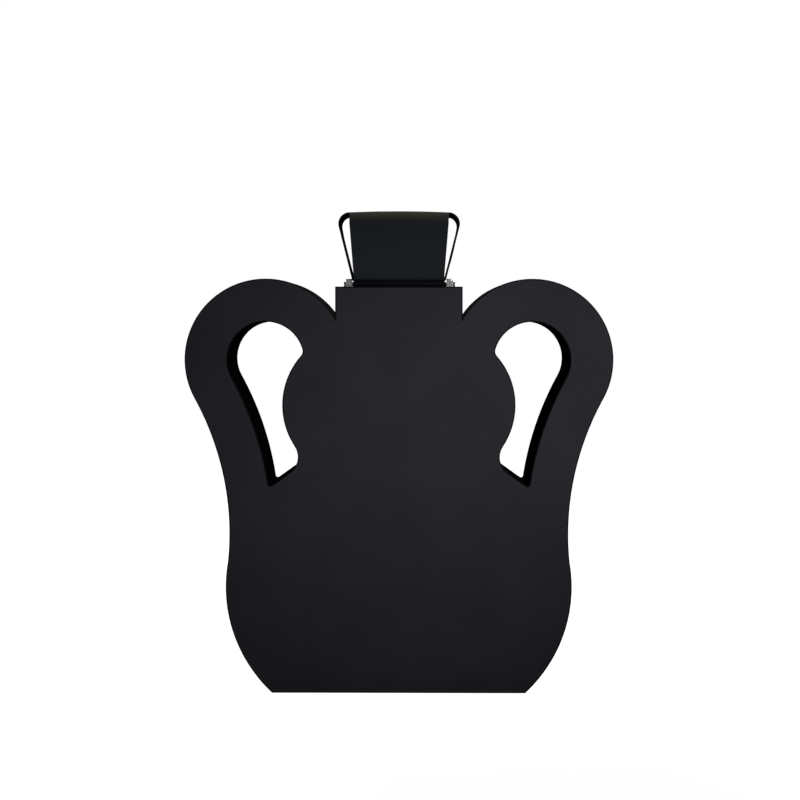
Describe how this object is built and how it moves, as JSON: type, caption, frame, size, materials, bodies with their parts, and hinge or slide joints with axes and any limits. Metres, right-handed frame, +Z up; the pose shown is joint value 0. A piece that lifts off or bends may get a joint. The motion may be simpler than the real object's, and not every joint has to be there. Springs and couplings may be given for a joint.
{
  "type": "rigid jar-shaped case with hinged lid",
  "caption": "Flat rigid case in the outline of a handled jar, with hand holes through the handles and a hinged lid that a folded leather hood opens.",
  "frame": {"origin": "centre of the base, on the surface that the case stands on", "axes": "+Z up through the neck, -Y out of the front face, +X to the viewer's right of the front face"},
  "size_m": [0.3008, 0.075, 0.3396],
  "materials": {
    "case_leather": "smooth satin black leather",
    "side_leather": "smooth satin black leather",
    "hole_leather": "matt black leather",
    "hood_leather": "smooth matt black leather",
    "board": "bare birch plywood",
    "core": "black stained light wood",
    "lining": "black suede cloth",
    "black_plate": "satin black anodised",
    "grey_metal": "brushed grey",
    "black_steel": "blackened",
    "magnet": "nickel plated"
  },
  "bodies": {
    "case": {"front_leather": "case_leather", "back_leather": "case_leather", "side_leather_right": "side_leather", "side_leather_left": "side_leather", "base_leather": "side_leather", "handle_leather_right": "hole_leather", "handle_leather_left": "hole_leather", "front_board": "board", "back_board": "board", "side_board_right": "board", "side_board_left": "board", "floor_board": "board", "handle_wall_right": "board", "handle_wall_left": "board", "handle_core_right": "core", "handle_core_left": "core", "lining_front": "lining", "lining_back": "lining", "lining_floor": "lining", "neck_frame": "core", "mouth_plate": "black_plate", "plate_screws": "black_steel", "frame_magnets": "magnet", "lug_nuts": "grey_metal", "hinge_lug_right": "grey_metal", "hinge_lug_left": "grey_metal"},
    "lid": {"lid_board": "black_plate", "hood": "hood_leather", "clamp_plate": "black_plate", "clamp_screws": "black_steel", "lid_magnets": "magnet", "pivot_screw_right": "black_steel", "pivot_screw_left": "black_steel", "pivot_spacer_right": "black_steel", "pivot_spacer_left": "black_steel"}
  },
  "joints": [
    {"name": "lid_hinge", "type": "hinge", "parent": "case", "child": "lid", "pos_m": [0, 0.0308, 0.2896], "axis": [-1, 0, 0], "range_deg": [0, 90]}
  ]
}
